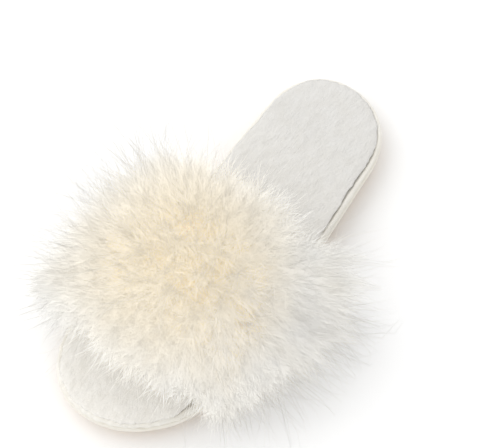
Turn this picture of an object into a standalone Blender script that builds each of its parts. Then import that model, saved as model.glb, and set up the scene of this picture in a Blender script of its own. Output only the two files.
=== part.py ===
"""Fuzzy open-toe slipper for the left foot, with a band covered in down feathers.

Frame: +X points to the toe, +Y to the outer side of the foot, +Z up. The sole stands on Z = 0.
Lengths are in metres. Shares in the tables are fractions of the named sizes that they follow.
"""

import math
import random

import bmesh
import bpy
from mathutils import Vector

MM = 0.001

# Footbed plan
FOOTBED_LENGTH = 258 * MM
BALL_WIDTH = 97.6 * MM
HEEL_ROUND_SHARE = 0.158
HEEL_ROUND_POWER = 2.23
TOE_ROUND_SHARE = 0.238
TOE_ROUND_POWER = 2.17
STATIONS = 38

# Thickness of the layers, heel and forefoot
HEEL_SOLE = 9.0 * MM
FORE_SOLE = 7.0 * MM
HEEL_FOAM = 9.5 * MM
FORE_FOAM = 8.5 * MM
ROLL_WIDTH = 4.0 * MM
ROLL_HEIGHT = 3.4 * MM
INSOLE_LIP = 1.5 * MM
LIP_OVERHANG = 2.7 * MM
INSOLE_CROWN = 1.2 * MM
GAP = 0.3 * MM
GROOVE_EASE = 0.2 * MM

# Underside
TOE_SPRING = 5.0 * MM
ARCH_LIFT = 1.6 * MM
HEEL_BEVEL = 1.2 * MM
SOLE_STEP_IN = 2.4 * MM
SOLE_SLOPE_IN = 8.0 * MM
FOAM_BULGE = 0.9 * MM
TREAD_MARGIN = 14.0 * MM
GROOVE_WIDTH = 1.7 * MM
RIM_GROOVE_DEPTH = 1.3 * MM
BAR_GROOVE_DEPTH = 1.1 * MM
DISC_GROOVE_DEPTH = 0.9 * MM
BAR_BULGE = 5.0 * MM
WAIST_STEPS = 7
BAR_STEPS = 10
DISC_RADIUS = 7.5 * MM
DISC_FROM_HEEL = 42.0 * MM
CUTTER_BELOW = 3.0 * MM

# Band over the foot
BAND_WALL = 2.0 * MM
THROAT_HEIGHT = 56.0 * MM
TOE_EDGE_HEIGHT = 35.0 * MM
THROAT_SHARE = 0.495
TOE_EDGE_SHARE = 0.815
THROAT_SWEEP = 8.0 * MM
TOE_EDGE_SWEEP = 5.0 * MM
CROWN_SHIFT = 3.0 * MM
BAND_SECTIONS = 8
BAND_ARC_STEPS = 26

# Feather trim
TRIM_BODY = 8.5 * MM
TRIM_EDGE = 2.0 * MM
TRIM_OVERHANG = 5.0 * MM
TRIM_FROM_STEP = 2
LOCK_LENGTH = 38.0 * MM
LOCK_SIDE_EXTRA = 9.0 * MM
OUTER_TOE_SHORTER = 0.5
LOCK_SPREAD = 0.10
LOCK_DROOP = 6.0 * MM
EDGE_DROOP = 9.0 * MM
TOE_FAN = 2.0
THROAT_FAN = 1.4
SIDE_FAN = 0.35
SIDE_FAN_KEPT = 0.5
HANGING_DROOP = 16.0 * MM
LOCK_SEED = 5

# Plan of the footbed: share of its length from the heel, then half width and
# middle line as shares of half the ball width, the middle line to the outer side.
PLAN = (
    dict(along=0.00, half_width=0.753, middle=-0.005),
    dict(along=0.16, half_width=0.765, middle=-0.005),
    dict(along=0.34, half_width=0.808, middle=0.018),
    dict(along=0.50, half_width=0.800, middle=0.042),
    dict(along=0.70, half_width=1.000, middle=0.007),
    dict(along=0.86, half_width=0.985, middle=-0.109),
    dict(along=1.00, half_width=0.950, middle=-0.225),
)

# Half of the band's arch from its foot to its crown: across as a share of the half
# width at the foot, up as a share of the height over the edge roll.
ARCH = (
    dict(turn=0.00, across=1.000, up=0.000),
    dict(turn=0.12, across=1.055, up=0.130),
    dict(turn=0.26, across=1.080, up=0.300),
    dict(turn=0.42, across=1.010, up=0.530),
    dict(turn=0.58, across=0.850, up=0.740),
    dict(turn=0.74, across=0.600, up=0.900),
    dict(turn=0.88, across=0.290, up=0.980),
    dict(turn=1.00, across=0.000, up=1.000),
)

# Side of the outsole from its top edge to the ground: share of its height, and
# share of the slope by which it has come in.
SOLE_SIDE = (
    dict(height=1.00, inwards=0.00),
    dict(height=0.74, inwards=0.05),
    dict(height=0.44, inwards=0.22),
    dict(height=0.18, inwards=0.50),
    dict(height=0.04, inwards=0.80),
    dict(height=0.00, inwards=1.00),
)

# Side of the wrapped foam from bottom to top: share of its height, how far it has
# come in, and the share of the bulge.
FOAM_SIDE = (
    dict(height=0.00, inwards=2.2 * MM, bulge=0.0),
    dict(height=0.16, inwards=0.5 * MM, bulge=0.2),
    dict(height=0.50, inwards=0.0 * MM, bulge=1.0),
    dict(height=0.86, inwards=0.3 * MM, bulge=0.4),
    dict(height=1.00, inwards=1.4 * MM, bulge=0.0),
)

# Edge of the plush insole from bottom to crown. The pad stands inside the edge roll
# and its lip lies over it: share of the roll's height with its gap, share of the lip's
# thickness, share of the crown, share of the overhang, and how far it has come in.
INSOLE_SIDE = (
    dict(pad=0.00, lip=0.00, crown=0.0, over=0.0, inwards=0.5 * MM),
    dict(pad=1.00, lip=0.00, crown=0.0, over=0.0, inwards=0.0 * MM),
    dict(pad=1.00, lip=0.08, crown=0.0, over=1.0, inwards=0.4 * MM),
    dict(pad=1.00, lip=0.50, crown=0.0, over=1.0, inwards=0.0 * MM),
    dict(pad=1.00, lip=1.00, crown=0.3, over=1.0, inwards=1.9 * MM),
    dict(pad=1.00, lip=1.00, crown=1.0, over=1.0, inwards=13.0 * MM),
)

# The two tread fields: first and last share of the length, how many grooves cross
# it, and which way the grooves bow (-1 to the heel, 1 to the toe).
TREAD_FIELDS = (
    dict(name="heel", first=0.00, last=0.40, groove_count=5, bow=-1),
    dict(name="forefoot", first=0.53, last=1.00, groove_count=8, bow=1),
)

# Rings of one feather lock after its base: share of the length, and of the base's size.
LOCK_RINGS = (
    dict(along=0.40, size=0.80),
    dict(along=0.78, size=0.48),
)

MATERIALS = {
    "tan_rubber": dict(colour=(0.600, 0.390, 0.175, 1.0), roughness=0.55),
    "ivory_fabric": dict(colour=(0.800, 0.770, 0.690, 1.0), roughness=0.90),
    "white_plush": dict(colour=(0.850, 0.840, 0.810, 1.0), roughness=1.00),
    "ivory_feather": dict(colour=(0.870, 0.820, 0.720, 1.0), roughness=1.00),
}


def clear_scene():
    for obj in list(bpy.data.objects):
        bpy.data.objects.remove(obj)


def material(name):
    made = bpy.data.materials.get(name)
    if made is None:
        made = bpy.data.materials.new(name)
        made.use_nodes = True
        shader = made.node_tree.nodes["Principled BSDF"]
        shader.inputs["Base Color"].default_value = MATERIALS[name]["colour"]
        shader.inputs["Roughness"].default_value = MATERIALS[name]["roughness"]
        shader.inputs["Metallic"].default_value = 0.0
    return made


def make_object(name, bm, finish):
    """Turns a bmesh into a smooth-shaded object with its faces pointing out."""
    bmesh.ops.recalc_face_normals(bm, faces=bm.faces)
    mesh = bpy.data.meshes.new(name)
    bm.to_mesh(mesh)
    bm.free()
    mesh.shade_smooth()
    mesh.set_sharp_from_angle(angle=math.radians(40))
    obj = bpy.data.objects.new(name, mesh)
    bpy.context.scene.collection.objects.link(obj)
    obj.data.materials.append(material(finish))
    return obj


def lerp(a, b, t):
    return a + (b - a) * t


def ease(t):
    t = min(1.0, max(0.0, t))
    return t * t * (3 - 2 * t)


def column(table, key, value, at):
    """Smooth monotone curve through one column of a table, read at a value of its key column."""
    xs = [row[key] for row in table]
    ys = [row[value] for row in table]
    at = min(max(at, xs[0]), xs[-1])
    steps = [b - a for a, b in zip(xs, xs[1:])]
    slopes = [(b - a) / h for a, b, h in zip(ys, ys[1:], steps)]
    tangents = [slopes[0]]
    for left, right, h0, h1 in zip(slopes, slopes[1:], steps, steps[1:]):
        if left * right <= 0:
            tangents.append(0.0)
        else:
            w0, w1 = 2 * h1 + h0, h1 + 2 * h0
            tangents.append((w0 + w1) / (w0 / left + w1 / right))
    tangents.append(slopes[-1])
    i = max(k for k in range(len(steps)) if xs[k] <= at)
    h, t = steps[i], (at - xs[i]) / steps[i]
    return (
        ys[i] * (1 + 2 * t) * (1 - t) ** 2
        + h * tangents[i] * t * (1 - t) ** 2
        + ys[i + 1] * t * t * (3 - 2 * t)
        + h * tangents[i + 1] * t * t * (t - 1)
    )


def x_of(share):
    return (share - 0.5) * FOOTBED_LENGTH


def share_of(x):
    return x / FOOTBED_LENGTH + 0.5


def end_rounding(share):
    """How much of the full width is left near the round heel and the round toe."""
    if share < HEEL_ROUND_SHARE:
        t, power = 1 - share / HEEL_ROUND_SHARE, HEEL_ROUND_POWER
    elif share > 1 - TOE_ROUND_SHARE:
        t, power = 1 - (1 - share) / TOE_ROUND_SHARE, TOE_ROUND_POWER
    else:
        return 1.0
    return max(0.0, 1 - t**power) ** (1 / power)


def plan_side(share, side):
    """Y of the footbed's edge at a share of its length; side is 1 for the outer side, -1 for the inner."""
    half = BALL_WIDTH / 2
    width = column(PLAN, "along", "half_width", share) * end_rounding(share)
    return half * (column(PLAN, "along", "middle", share) + side * width)


def plan_ring(inset):
    """The footbed's outline moved inwards by inset, a length or a function of x.

    The points (x, y) run from the heel tip along the outer side to the toe tip and back."""
    shares = [(1 - math.cos(math.pi * k / STATIONS)) / 2 for k in range(STATIONS + 1)]
    outer = [Vector((x_of(s), plan_side(s, 1))) for s in shares]
    inner = [Vector((x_of(s), plan_side(s, -1))) for s in shares[-2:0:-1]]
    ring = outer + inner
    moved = []
    for before, point, after in zip(ring[-1:] + ring[:-1], ring, ring[1:] + ring[:1]):
        tangent = (after - point).normalized() + (point - before).normalized()
        tangent.normalize()
        depth = inset(point.x) if callable(inset) else inset
        moved.append(point + Vector((tangent.y, -tangent.x)) * depth)
    return moved


def edge_y(x, inset, side):
    """Y of the outline moved inwards by inset, where it passes x on one side."""
    ring = plan_ring(inset)
    run = ring[: STATIONS + 1] if side > 0 else [ring[0]] + ring[:STATIONS - 1 : -1]
    for a, b in zip(run, run[1:]):
        if a.x <= x <= b.x:
            return lerp(a.y, b.y, (x - a.x) / (b.x - a.x))
    raise ValueError("x lies past the end of the outline")


def toe_lift(x):
    spring_from = 0.80
    t = max(0.0, (share_of(x) - spring_from) / (1 - spring_from))
    return TOE_SPRING * t * t


def ground(x):
    """Height of the outsole's underside: flat under heel and forefoot, lifted at the waist and both tips."""
    share = share_of(x)
    waist_from, waist_to, bevel_to = 0.40, 0.55, 0.06
    lift = toe_lift(x)
    if waist_from < share < waist_to:
        lift += ARCH_LIFT * math.sin(math.pi * (share - waist_from) / (waist_to - waist_from)) ** 2
    return lift + HEEL_BEVEL * max(0.0, 1 - share / bevel_to) ** 2


def heel_to_fore(x, heel, fore):
    slope_from, slope_to = 0.30, 0.66
    return lerp(heel, fore, ease((share_of(x) - slope_from) / (slope_to - slope_from)))


def sole_top(x):
    return toe_lift(x) + heel_to_fore(x, HEEL_SOLE, FORE_SOLE)


def foam_bottom(x):
    return sole_top(x) + GAP


def foam_top(x):
    return foam_bottom(x) + heel_to_fore(x, HEEL_FOAM, FORE_FOAM)


def roll_bottom(x):
    return foam_top(x) + GAP


def roll_top(x):
    return roll_bottom(x) + ROLL_HEIGHT


def add_ring(bm, inset, height):
    """A closed ring of vertices on the moved outline; height is a function of x."""
    return [bm.verts.new((p.x, p.y, height(p.x))) for p in plan_ring(inset)]


def bridge(bm, first, second):
    """Quads between two closed rings with the same number of vertices."""
    for k in range(len(first)):
        n = (k + 1) % len(first)
        bm.faces.new((first[k], first[n], second[n], second[k]))


def cap(bm, ring):
    """Closes a plan ring with strips that run from its outer side to its inner side."""
    count = len(ring)
    for k in range(STATIONS):
        corners = (ring[k], ring[k + 1], ring[(count - k - 1) % count], ring[(count - k) % count])
        bm.faces.new([v for i, v in enumerate(corners) if v not in corners[:i]])


def stacked(rings, name, finish):
    bm = bmesh.new()
    made = [add_ring(bm, inset, height) for inset, height in rings]
    for first, second in zip(made, made[1:]):
        bridge(bm, first, second)
    cap(bm, made[0])
    cap(bm, made[-1])
    return make_object(name, bm, finish)


def groove_path(points, closed, depth, name):
    """A cutter with a rectangular section that follows plan points along the ground."""
    bm = bmesh.new()
    loops = []
    last = len(points) - 1
    for k, point in enumerate(points):
        before = points[k - 1] if closed or k else point
        after = points[(k + 1) % len(points)] if closed or k < last else point
        tangent = (after - before).normalized()
        side = Vector((-tangent.y, tangent.x)) * GROOVE_WIDTH / 2
        low, high = ground(point.x) - CUTTER_BELOW, ground(point.x) + depth
        a, b = point + side, point - side
        corners = ((a.x, a.y, low), (b.x, b.y, low), (b.x, b.y, high), (a.x, a.y, high))
        loops.append([bm.verts.new(corner) for corner in corners])
    for first, second in zip(loops, loops[1:] + (loops[:1] if closed else [])):
        bridge(bm, first, second)
    if not closed:
        bm.faces.new(loops[0])
        bm.faces.new(loops[-1])
    cutter = make_object(name, bm, "tan_rubber")
    cutter.hide_render = True
    cutter.display_type = "WIRE"
    return cutter


def bowed(x, y, half, bow):
    """A point on a groove that bows along the foot, most at the middle line."""
    return Vector((x + bow * BAR_BULGE * (1 - (y / half) ** 2), y))


def field_outline(field):
    """The tread field's rim: the outline moved in by the margin, closed by a bowed line at the waist."""
    ring = plan_ring(TREAD_MARGIN)
    first, last = x_of(field["first"]), x_of(field["last"])
    kept = [p for p in ring if first <= p.x <= last]
    at_heel = field["first"] == 0.0
    waist_x = last if at_heel else first
    outer, inner = (edge_y(waist_x, TREAD_MARGIN, side) for side in (1, -1))
    half = (outer - inner) / 2
    across = [
        bowed(waist_x, y, half, field["bow"]) + Vector((0, (outer + inner) / 2))
        for y in (half * (1 - 2 * k / WAIST_STEPS) for k in range(WAIST_STEPS + 1))
    ]
    if at_heel:
        outer_run = [p for p in ring[: STATIONS + 1] if p.x < waist_x - GROOVE_WIDTH]
        inner_run = [p for p in ring[STATIONS + 1 :] if p.x < waist_x - GROOVE_WIDTH]
        return outer_run + across + inner_run
    toe_run = [p for p in kept if p.x > waist_x + GROOVE_WIDTH]
    return toe_run + across[::-1]


def groove_runs(field, at):
    """The parts of one cross groove that lie inside the field and outside the plain disc."""
    outer, inner = (edge_y(at, TREAD_MARGIN, side) for side in (1, -1))
    middle, half = (outer + inner) / 2, (outer - inner) / 2
    disc = Vector((x_of(0) + DISC_FROM_HEEL, plan_middle(x_of(0) + DISC_FROM_HEEL)))
    runs = [[]]
    for k in range(BAR_STEPS + 1):
        y = half * (1 - 2 * k / BAR_STEPS)
        point = bowed(at, y, half, field["bow"]) + Vector((0, middle))
        if (point - disc).length > DISC_RADIUS:
            runs[-1].append(point)
        elif runs[-1]:
            runs.append([])
    return [run for run in runs if len(run) > 1]


def plan_middle(x):
    return BALL_WIDTH / 2 * column(PLAN, "along", "middle", share_of(x))


def tread_cutters():
    """Grooves of both tread fields: a rim, bowed cross grooves and the plain disc at the heel."""
    cutters = []
    for field in TREAD_FIELDS:
        name = "cut_" + field["name"]
        rim = field_outline(field)
        cutters.append(groove_path(rim, True, RIM_GROOVE_DEPTH, name + "_rim"))
        low, high = min(p.x for p in rim), max(p.x for p in rim)
        pitch = (high - low) / (field["groove_count"] + 1)
        for k in range(field["groove_count"]):
            at = low + pitch * (k + 1) - field["bow"] * BAR_BULGE / 2
            for n, run in enumerate(groove_runs(field, at)):
                cutters.append(groove_path(run, False, BAR_GROOVE_DEPTH, f"{name}_bar_{k}_{n}"))
    x, sides = x_of(0) + DISC_FROM_HEEL, 20
    angles = [2 * math.pi * k / sides for k in range(sides)]
    disc = [
        Vector((x + DISC_RADIUS * math.cos(a), plan_middle(x) + DISC_RADIUS * math.sin(a)))
        for a in angles
    ]
    cutters.append(groove_path(disc, True, DISC_GROOVE_DEPTH, "cut_disc"))
    return cutters


def build_outsole():
    """Moulded sole with a sloping, rounded side and a shallow tread."""

    def level(row):
        return lambda x: lerp(ground(x), sole_top(x), row["height"])

    rings = [(SOLE_STEP_IN + SOLE_SLOPE_IN * row["inwards"], level(row)) for row in SOLE_SIDE]
    sole = stacked(rings, "outsole", "tan_rubber")
    for cutter in tread_cutters():
        cut = sole.modifiers.new(cutter.name, "BOOLEAN")
        cut.operation = "DIFFERENCE"
        cut.solver = "EXACT"
        cut.object = cutter
    return sole


def build_footbed():
    """Foam board in its fabric wrap, with a softly bulging side."""

    def level(row):
        return lambda x: lerp(foam_bottom(x), foam_top(x), row["height"])

    rings = [(row["inwards"] - FOAM_BULGE * row["bulge"], level(row)) for row in FOAM_SIDE]
    return stacked(rings, "footbed", "ivory_fabric")


def build_edge_roll():
    """Padded roll that runs round the top edge of the footbed, half under the insole's lip."""
    bm = bmesh.new()
    sides = 8
    rings = []
    for k in range(sides):
        angle = 2 * math.pi * (k + 0.5) / sides
        widest = math.cos(math.pi / sides)
        inset = ROLL_WIDTH / 2 * (1 + math.cos(angle) / widest)
        share = (1 + math.sin(angle) / widest) / 2
        rings.append(add_ring(bm, inset, lambda x, s=share: roll_bottom(x) + ROLL_HEIGHT * s))
    for first, second in zip(rings, rings[1:] + rings[:1]):
        bridge(bm, first, second)
    return make_object("edge_roll", bm, "ivory_fabric")


def build_insole():
    """Plush pad with a lip over the edge roll, drawn in beside the band's feet, which stand next to it."""
    run_in = 6 * MM

    def beside_feet(x):
        into = min(x - x_of(THROAT_SHARE), x_of(TOE_EDGE_SHARE) - x) + 2 * run_in
        return ease(into / run_in)

    def inset(row):
        free = ROLL_WIDTH + GAP - LIP_OVERHANG * row["over"]
        drawn_in = foot_inset() + BAND_WALL + GAP + GROOVE_EASE
        return lambda x: lerp(free, drawn_in, beside_feet(x)) + row["inwards"]

    def level(row):
        rise = (
            (ROLL_HEIGHT + GAP) * row["pad"]
            + INSOLE_LIP * row["lip"]
            + INSOLE_CROWN * row["crown"]
        )
        return lambda x: roll_bottom(x) + rise

    rings = [(inset(row), level(row)) for row in INSOLE_SIDE]
    return stacked(rings, "insole", "white_plush")


def foot_inset():
    """How far inside the footbed's outline the band's feet stand, next to the edge roll."""
    return ROLL_WIDTH + GAP + GROOVE_EASE


def arch_place(turn):
    """Where a share of the way over the arch lies: side, across share and up share."""
    side = 1 if turn <= 0.5 else -1
    half_turn = 2 * turn if turn <= 0.5 else 2 * (1 - turn)
    across = column(ARCH, "turn", "across", half_turn)
    return side, side * across, column(ARCH, "turn", "up", half_turn)


def band_x(along, up):
    throat = x_of(THROAT_SHARE) - THROAT_SWEEP * up
    toe_edge = x_of(TOE_EDGE_SHARE) - TOE_EDGE_SWEEP * up
    return lerp(throat, toe_edge, along)


def band_height(x):
    share = (share_of(x) - THROAT_SHARE) / (TOE_EDGE_SHARE - THROAT_SHARE)
    slack = 0.35
    return lerp(THROAT_HEIGHT, TOE_EDGE_HEIGHT, lerp(share, ease(share), slack))


def band_point(along, turn):
    """A point on the band's outer face: along from throat to toe edge, turn from the outer foot to the inner."""
    _, across, up = arch_place(turn)
    x = band_x(along, up)
    outer, inner = edge_y(x, foot_inset(), 1), edge_y(x, foot_inset(), -1)
    middle, half = (outer + inner) / 2, (outer - inner) / 2
    y = middle + half * across - CROWN_SHIFT * up
    return Vector((x, y, roll_top(x) + band_height(x) * up))


def band_normal(along, turn):
    """Unit normal of the band's outer face, pointing away from the foot."""
    step = 0.004
    before, after = max(0.0, turn - step), min(1.0, turn + step)
    over = band_point(along, after) - band_point(along, before)
    forward = band_point(along + step, turn) - band_point(along - step, turn)
    return over.cross(forward).normalized()


def band_foot(along, turn, lift):
    """The end of the band down in the seam groove, straight below its edge."""
    edge = band_point(along, turn) + band_normal(along, turn) * lift
    return Vector((edge.x, edge.y, roll_bottom(edge.x)))


def band_column(along, lift):
    """One section of the band, moved out by lift, from foot to foot."""
    turns = [k / BAND_ARC_STEPS for k in range(BAND_ARC_STEPS + 1)]
    over = [band_point(along, turn) + band_normal(along, turn) * lift for turn in turns]
    return [band_foot(along, 0.0, lift)] + over + [band_foot(along, 1.0, lift)]


def sheet_faces(bm, grid):
    """Quads over a grid of vertices, row by row."""
    return [
        [bm.faces.new((near[j], far[j], far[j + 1], near[j + 1])) for j in range(len(near) - 1)]
        for near, far in zip(grid, grid[1:])
    ]


def shell(bm, outside, inside):
    """Closes two grids of points with the same layout into one wall; gives the faces of the outer one."""
    out = [[bm.verts.new(p) for p in row] for row in outside]
    back = [[bm.verts.new(p) for p in row] for row in inside]
    rows, columns = len(out), len(out[0])
    outer_faces = sheet_faces(bm, out)
    sheet_faces(bm, back)
    for i in range(rows - 1):
        for j in (0, columns - 1):
            bm.faces.new((out[i][j], out[i + 1][j], back[i + 1][j], back[i][j]))
    for j in range(columns - 1):
        for i in (0, rows - 1):
            bm.faces.new((out[i][j], out[i][j + 1], back[i][j + 1], back[i][j]))
    return outer_faces


def build_upper():
    """The open band: a thin wall over the foot, its feet in the seam groove."""
    bm = bmesh.new()
    along = [k / BAND_SECTIONS for k in range(BAND_SECTIONS + 1)]
    outside = [band_column(a, 0.0) for a in along]
    inside = [band_column(a, -BAND_WALL) for a in along]
    shell(bm, outside, inside)
    return make_object("upper", bm, "ivory_fabric")


def trim_alongs():
    """Rows of the trim from throat to toe edge: the band's own sections and one past each edge."""
    over = TRIM_OVERHANG / (x_of(TOE_EDGE_SHARE) - x_of(THROAT_SHARE))
    return [-over] + [k / BAND_SECTIONS for k in range(BAND_SECTIONS + 1)] + [1 + over]


def trim_turns():
    """Columns of the trim: the band's own arc steps, without the ones next to its feet."""
    return [k / BAND_ARC_STEPS for k in range(TRIM_FROM_STEP, BAND_ARC_STEPS - TRIM_FROM_STEP + 1)]


def trim_thickness(row, col):
    """Thickness at shares of the way along and over the trim: full in the middle, thin at its edges."""
    round_over = 0.16
    share = 1.0
    for t in (row, col):
        near = min(1.0, min(t, 1 - t) / round_over)
        share *= math.sqrt(1 - (1 - near) ** 2)
    return lerp(TRIM_EDGE, TRIM_BODY, share)


def lock_direction(along, turn, spread):
    """Which way a lock grows: out from the band, fanned to the front, the back and the sides."""
    out = band_normal(min(max(along, 0.0), 1.0), turn)
    forward, across = 2 * along - 1, 1 - 2 * turn
    kept = lerp(1.0, SIDE_FAN_KEPT, abs(across))
    fan = Vector((forward * kept * (TOE_FAN if forward > 0 else THROAT_FAN), SIDE_FAN * across, 0))
    return (out + fan + spread).normalized()


def lock_length(along, turn):
    """Mean length of a lock: longer at the sides, shorter towards the outer side of the toe."""
    forward, outwards = 2 * along - 1, 1 - 2 * turn
    to_outer_toe = max(0.0, outwards) * min(1.0, max(0.0, forward + 0.35))
    return (LOCK_LENGTH + LOCK_SIDE_EXTRA * abs(outwards)) * (1 - OUTER_TOE_SHORTER * to_outer_toe)


def grow_lock(bm, face, direction, length, droop):
    """Draws one face out into a tapered lock that bends down towards its tip."""
    base = [v.co.copy() for v in face.verts]
    centre = sum(base, Vector()) / len(base)
    ring = list(face.verts)
    bmesh.ops.delete(bm, geom=[face], context="FACES_ONLY")

    def spine(t):
        return centre + direction * length * t - Vector((0, 0, droop * t * t))

    for row in LOCK_RINGS:
        middle = spine(row["along"])
        corners = [bm.verts.new(middle + (p - centre) * row["size"]) for p in base]
        bridge(bm, ring, corners)
        ring = corners
    tip = bm.verts.new(spine(1.0))
    for k in range(len(ring)):
        bm.faces.new((ring[k], ring[(k + 1) % len(ring)], tip))


def build_feather_trim():
    """Deep down trim over the band: a thick wall with a tapered lock drawn out of each cell."""
    bm = bmesh.new()
    alongs, turns = trim_alongs(), trim_turns()
    rows, cols = len(alongs) - 1, len(turns) - 1

    def grid(lift):
        return [
            [
                band_point(along, turn) + band_normal(along, turn) * lift(i / rows, j / cols)
                for j, turn in enumerate(turns)
            ]
            for i, along in enumerate(alongs)
        ]

    outside = grid(lambda row, col: GAP + trim_thickness(row, col))
    face_rows = shell(bm, outside, grid(lambda row, col: GAP))
    chance = random.Random(LOCK_SEED)
    for i in range(rows):
        for j in range(cols):
            along, turn = (alongs[i] + alongs[i + 1]) / 2, (turns[j] + turns[j + 1]) / 2
            spread = Vector([chance.uniform(-LOCK_SPREAD, LOCK_SPREAD) for _ in range(3)])
            length = lock_length(along, turn) * chance.uniform(0.82, 1.12)
            direction = lock_direction(along, turn, spread)
            droop = LOCK_DROOP * (1 - abs(direction.z))
            if j in (0, cols - 1):
                droop = HANGING_DROOP
            elif i >= rows - 2:
                droop = EDGE_DROOP
            grow_lock(bm, face_rows[i][j], direction, length, droop)
    return make_object("feather_trim", bm, "ivory_feather")


def centre_on_origin(objects):
    """Puts the middle of the slipper's box over the origin, with the sole left on the ground."""
    points = [v.co for obj in objects for v in obj.data.vertices]
    middle_x = (min(p.x for p in points) + max(p.x for p in points)) / 2
    middle_y = (min(p.y for p in points) + max(p.y for p in points)) / 2
    for obj in bpy.data.objects:
        for vertex in obj.data.vertices:
            vertex.co.x -= middle_x
            vertex.co.y -= middle_y


def main():
    clear_scene()
    builders = (
        build_outsole,
        build_footbed,
        build_edge_roll,
        build_insole,
        build_upper,
        build_feather_trim,
    )
    centre_on_origin([build() for build in builders])


main()
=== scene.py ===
"""Looks of a fluffy open-toe slipper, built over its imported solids.

X points to the toe, Y to the outer side of the left foot, Z up, in metres.
"""

import math

import bmesh
import bpy
import numpy as np
from mathutils import Matrix, Vector, noise
from mathutils.bvhtree import BVHTree


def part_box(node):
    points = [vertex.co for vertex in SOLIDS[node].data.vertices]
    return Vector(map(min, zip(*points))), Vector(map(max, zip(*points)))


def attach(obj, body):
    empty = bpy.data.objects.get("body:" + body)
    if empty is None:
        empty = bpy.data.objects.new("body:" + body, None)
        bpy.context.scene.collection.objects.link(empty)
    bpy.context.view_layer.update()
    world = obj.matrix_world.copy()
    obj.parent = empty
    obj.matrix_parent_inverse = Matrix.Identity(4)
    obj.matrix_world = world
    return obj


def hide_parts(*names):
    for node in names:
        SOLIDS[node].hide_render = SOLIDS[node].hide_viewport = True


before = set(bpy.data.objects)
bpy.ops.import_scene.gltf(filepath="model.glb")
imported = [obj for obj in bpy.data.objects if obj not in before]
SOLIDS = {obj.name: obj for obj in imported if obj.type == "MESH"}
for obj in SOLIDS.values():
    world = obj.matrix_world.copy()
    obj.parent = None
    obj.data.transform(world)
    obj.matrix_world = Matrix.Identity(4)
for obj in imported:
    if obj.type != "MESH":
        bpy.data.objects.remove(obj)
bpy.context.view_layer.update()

MM = 0.001

# Photo camera: how far it leans to the outer side and to the toe, its roll, distance and aim
CAMERA_LEAN_OUT = 0.217
CAMERA_LEAN_TOE = 0.2672
CAMERA_ROLL = 0.6606
CAMERA_DISTANCE = 1.2006
CAMERA_AIM = Vector((-0.01836, -0.00137, 0.020))
CAMERA_LENS = 150.7
SENSOR_WIDTH = 36.0

# Studio: a wide floor, an even sky and three softboxes as (name, place, size, power)
FLOOR_HALF_WIDTH = 6.0
SKY_STRENGTH = 0.86
SOFTBOXES = (
    ("key_softbox", (0.3, -1.05, 1.35), 1.8, 13.5),
    ("toe_softbox", (1.0, 0.8, 1.2), 1.6, 4.0),
    ("heel_softbox", (-1.1, -0.5, 1.4), 1.6, 4.0),
)
SOFTBOX_AIM = Vector((0, 0, 0.03))

# Painted glow: emission that stands in for light that thin fibres let through from behind
FEATHER_PAINTED_GLOW = 0.57
PLUSH_PAINTED_GLOW = 0.14

# Where the plush turns from its heel tone to its toe tone, painted lighter towards the toe to offset
# the shade the fluff casts on it
PLUSH_PAINTED_LIGHT_FROM_X = -90 * MM
PLUSH_PAINTED_LIGHT_TO_X = 20 * MM

# Middle of the fluff, how far from it and how much at its tips feathers pale, and their patches
FLUFF_HEART = (0.034, -0.0055, 0.008)
WARM_WITHIN = 30 * MM
PALE_BEYOND = 92 * MM
TIP_PALING = 0.12
PATCH_SHARE = 0.3

# Joint of the footbed's wrap: where it is, how wide, and its depth against the knit's own height
WRAP_JOINT_X = -96 * MM
WRAP_JOINT_WIDTH = 1.3 * MM
WRAP_JOINT_DEPTH = 4.0

# Meshes taken from the solids: how close points join, and how bent two triangles of one quad may be
JOIN_POINTS = 0.01 * MM
QUAD_BEND = math.radians(40)
QUAD_SKEW = math.radians(60)
SOLE_SHARP_EDGE = math.radians(35)

# Wrap of the footbed: broad ripples and fine upright ones, as many to a metre and heights in mm
BROAD_RIPPLES = 38
BROAD_RIPPLE_HEIGHT = 0.45
FINE_RIPPLES = (160, 160, 45)
FINE_RIPPLE_HEIGHT = 0.22

# Edge roll: how stretched its round is, and pleats and lumps that grow towards the toe, in mm
SOLE_ASPECT = 2.4
INWARDS_STRETCH = 3
ROLL_TOE_FROM = 20 * MM
ROLL_TOE_RUN = 110 * MM
PLEATS_PER_RADIAN = 70
PLEAT_WANDER = 12
PLEAT_HEIGHT = 0.05
PLEAT_TOE_HEIGHT = 0.22
ROLL_BROAD_LUMP_HEIGHT = 0.35
ROLL_LUMP_HEIGHT = 0.12
ROLL_LUMP_TOE_HEIGHT = 0.3
ROLL_GROOVE = 1.0
ROLL_CUSHION = 0.5

# How far the plush swells over the roll at the heel, the inner side and the toe, and its even faces
LIP_SWELL = 1.4 * MM
LIP_SHRINK = 0.5 * MM
LIP_TOE_FROM = 60 * MM
LIP_TOE_RUN = 50 * MM
PLUSH_FACE = 1.2 * MM

# Nap of the plush: tufts drawn out along the slipper, as many to a metre and heights in mm
NAP_TUFTS = (120, 260, 120)
NAP_HEIGHT = 0.6
NAP_FINER = 2.3
NAP_FINE_HEIGHT = 0.38

# Rays that find the band: the height they aim at, how near its ends they go, and where they start
RAY_AIM_Z = 34 * MM
RAY_HEEL_MARGIN = 10 * MM
RAY_TOE_MARGIN = 6 * MM
RAY_START = 0.2

# Feather plumes over the band, in rows along it and columns round it
PLUME_ROWS = 20
PLUME_COLUMNS = 40
PLUME_JITTER = 0.45
PLUME_FROM_X = -4 * MM
PLUME_TO_X = 77 * MM
PLUME_FIRST_TURN = math.radians(-22)
PLUME_LAST_TURN = math.radians(202)
PLUME_LENGTH = 27 * MM
PLUME_SIDE_EXTRA = 10 * MM
PLUME_LENGTHS = (0.75, 1.15)
PLUME_ROOT_LIFT = 3 * MM
PLUME_PIECES = 4
PLUME_SEED = 7

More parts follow.
